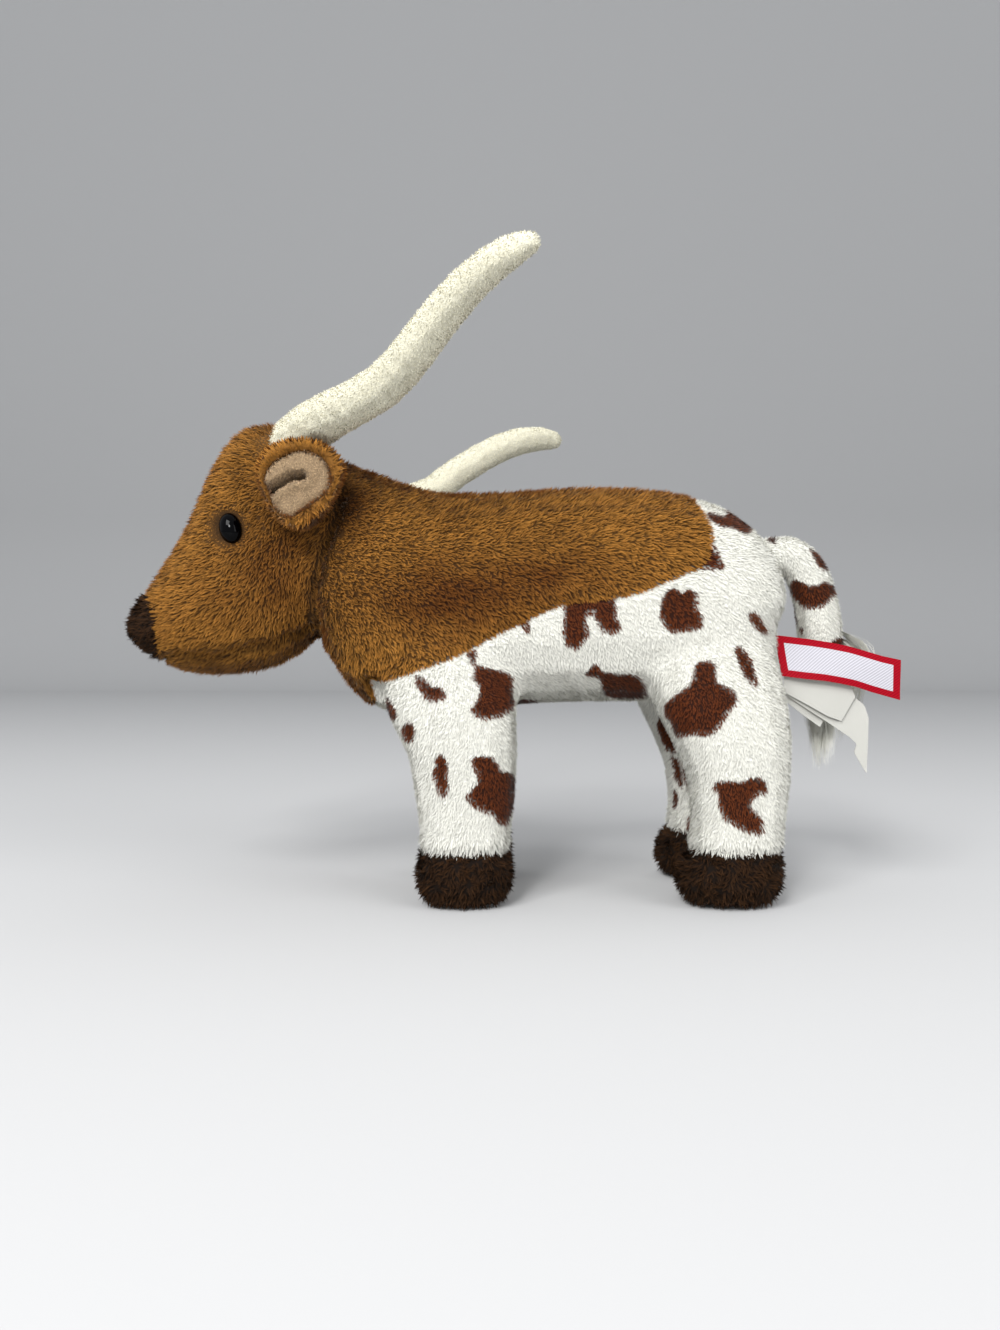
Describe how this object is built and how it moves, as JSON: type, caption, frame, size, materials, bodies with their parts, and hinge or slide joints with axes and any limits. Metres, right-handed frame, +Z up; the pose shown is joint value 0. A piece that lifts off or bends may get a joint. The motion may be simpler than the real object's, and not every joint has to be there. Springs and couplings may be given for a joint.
{
  "type": "plush longhorn steer",
  "caption": "Small standing plush longhorn steer with a brown saddle, white spotted sides, long soft horns, folded ears, a tufted tail and blank sewn labels.",
  "frame": {"origin": "on the floor under the hooves, halfway along and halfway across the toy", "axes": "+Z up, the head towards -X, the toy's left side towards -Y"},
  "size_m": [0.219, 0.1598, 0.1559],
  "materials": {
    "stuffing": "loose polyester fibre",
    "brown_plush": "short caramel brown pile",
    "spotted_plush": "short white pile with printed reddish brown spots",
    "white_fur": "long white fur",
    "dark_plush": "short dark brown pile",
    "tan_suede": "napped tan suede cloth",
    "cream_fleece": "fine cream fleece",
    "black_plastic": "polished black",
    "white_plastic": "moulded",
    "woven_satin": "woven label with a red border",
    "care_satin": "thin white satin ribbon"
  },
  "bodies": {
    "body": {"torso_filling": "stuffing", "saddle_left": "brown_plush", "saddle_right": "brown_plush", "flank_left": "spotted_plush", "flank_right": "spotted_plush", "belly_panel": "spotted_plush", "head_filling": "stuffing", "face_left": "brown_plush", "face_right": "brown_plush", "chin_panel": "brown_plush", "nose_cap": "dark_plush", "eye_left": "black_plastic", "eye_right": "black_plastic", "eye_washer_left": "white_plastic", "eye_washer_right": "white_plastic", "leg_front_left_filling": "stuffing", "leg_front_right_filling": "stuffing", "leg_hind_left_filling": "stuffing", "leg_hind_right_filling": "stuffing", "leg_front_left_cover": "spotted_plush", "leg_front_right_cover": "spotted_plush", "leg_hind_left_cover": "spotted_plush", "leg_hind_right_cover": "spotted_plush", "hoof_front_left": "dark_plush", "hoof_front_right": "dark_plush", "hoof_hind_left": "dark_plush", "hoof_hind_right": "dark_plush", "hoof_sole_front_left": "dark_plush", "hoof_sole_front_right": "dark_plush", "hoof_sole_hind_left": "dark_plush", "hoof_sole_hind_right": "dark_plush"},
    "left_horn": {"horn_left_cover": "cream_fleece", "horn_left_filling": "stuffing"},
    "right_horn": {"horn_right_cover": "cream_fleece", "horn_right_filling": "stuffing"},
    "left_ear": {"ear_back_left": "brown_plush", "ear_lining_left": "tan_suede"},
    "right_ear": {"ear_back_right": "brown_plush", "ear_lining_right": "tan_suede"},
    "tail": {"tail_cover": "spotted_plush", "tail_filling": "stuffing", "tail_tuft": "white_fur"},
    "brand_label": {"woven_label": "woven_satin"},
    "care_labels": {"care_label_1": "care_satin", "care_label_2": "care_satin"}
  },
  "joints": [
    {"name": "left_horn_bend", "type": "hinge", "parent": "body", "child": "left_horn", "pos_m": [-0.06067, -0.01361, 0.12455], "axis": [-1, 0, 0], "range_deg": [-2, 20], "stiffness_Nm_per_rad": 0.3},
    {"name": "right_horn_bend", "type": "hinge", "parent": "body", "child": "right_horn", "pos_m": [-0.06067, 0.01399, 0.12455], "axis": [1, 0, 0], "range_deg": [0, 20], "stiffness_Nm_per_rad": 0.3},
    {"name": "left_ear_flap", "type": "hinge", "parent": "body", "child": "left_ear", "pos_m": [-0.05809, -0.01761, 0.1081], "axis": [0, 0, 1], "range_deg": [-12, 12], "stiffness_Nm_per_rad": 0.02},
    {"name": "right_ear_flap", "type": "hinge", "parent": "body", "child": "right_ear", "pos_m": [-0.05809, 0.01798, 0.1081], "axis": [0, 0, 1], "range_deg": [-12, 12], "stiffness_Nm_per_rad": 0.02},
    {"name": "tail_lift", "type": "hinge", "parent": "body", "child": "tail", "pos_m": [0.07119, 0.00019, 0.09545], "axis": [0, -1, 0], "range_deg": [0, 40], "stiffness_Nm_per_rad": 0.1},
    {"name": "brand_label_flap", "type": "hinge", "parent": "body", "child": "brand_label", "pos_m": [0.07498, -0.01356, 0.0667], "axis": [0.1736, 0, 0.9848], "range_deg": [-60, 0], "stiffness_Nm_per_rad": 0.002},
    {"name": "care_label_flap", "type": "hinge", "parent": "body", "child": "care_labels", "pos_m": [0.074, -0.01356, 0.0567], "axis": [0, 0, 1], "range_deg": [0, 12], "stiffness_Nm_per_rad": 0.002}
  ]
}
